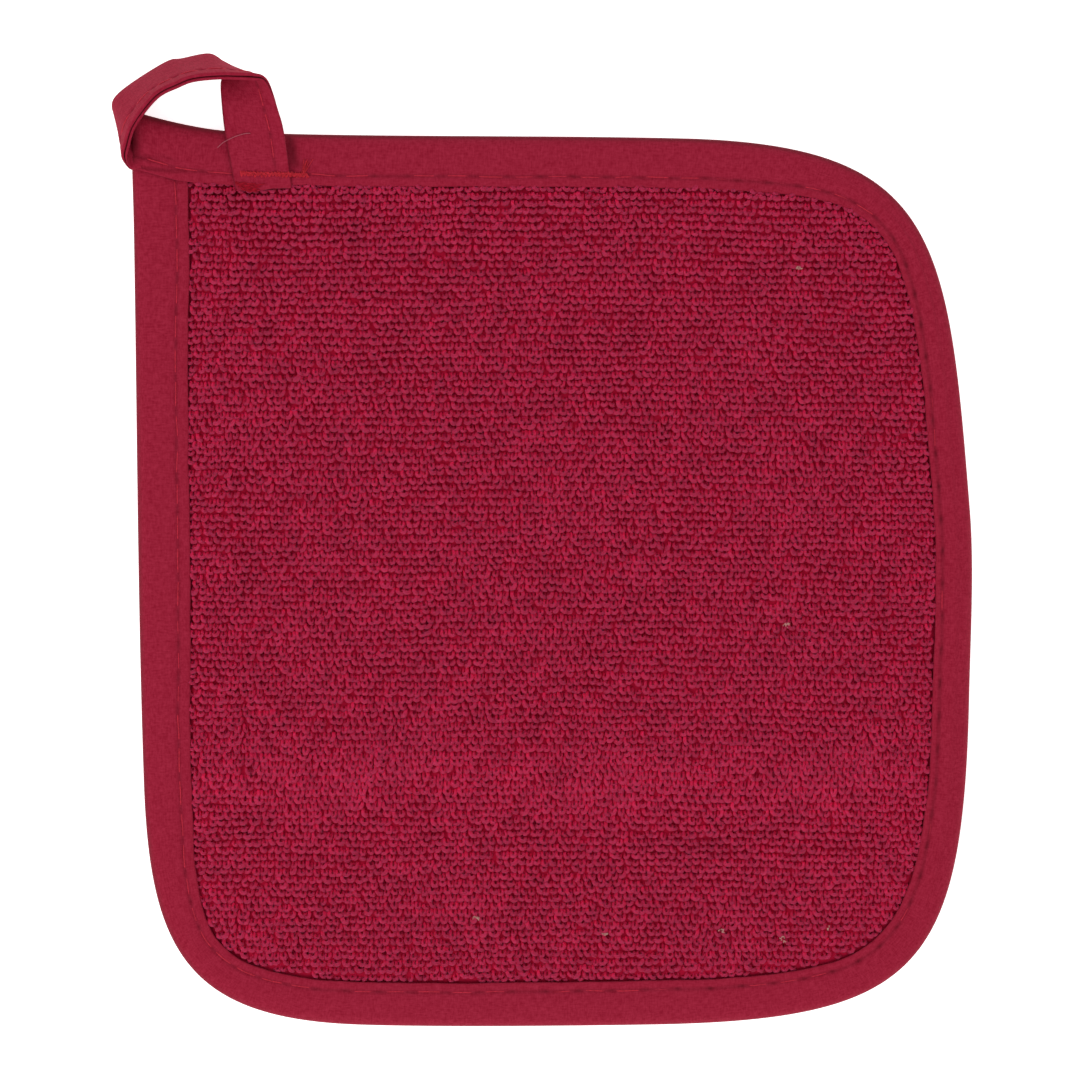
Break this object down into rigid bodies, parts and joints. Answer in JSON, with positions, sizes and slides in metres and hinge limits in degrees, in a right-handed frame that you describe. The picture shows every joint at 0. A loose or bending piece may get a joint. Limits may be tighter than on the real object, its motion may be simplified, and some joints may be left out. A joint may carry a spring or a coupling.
{
  "type": "pot holder",
  "caption": "Square terry pot holder with rounded corners, a folded tape binding and a hanging loop that curls up from one corner.",
  "frame": {"origin": "middle of the pad, on its underside", "axes": "+Z out of the pad's front face, +Y towards the edge with the hanging loop, +X to the right of the front"},
  "size_m": [0.2092, 0.236, 0.0136],
  "materials": {
    "terry_cloth": "looped cotton pile",
    "cotton_tape": "plain woven cotton"
  },
  "bodies": {
    "root": {"terry_front": "terry_cloth", "terry_back": "terry_cloth", "binding": "cotton_tape", "hanging_loop": "cotton_tape"}
  },
  "joints": []
}
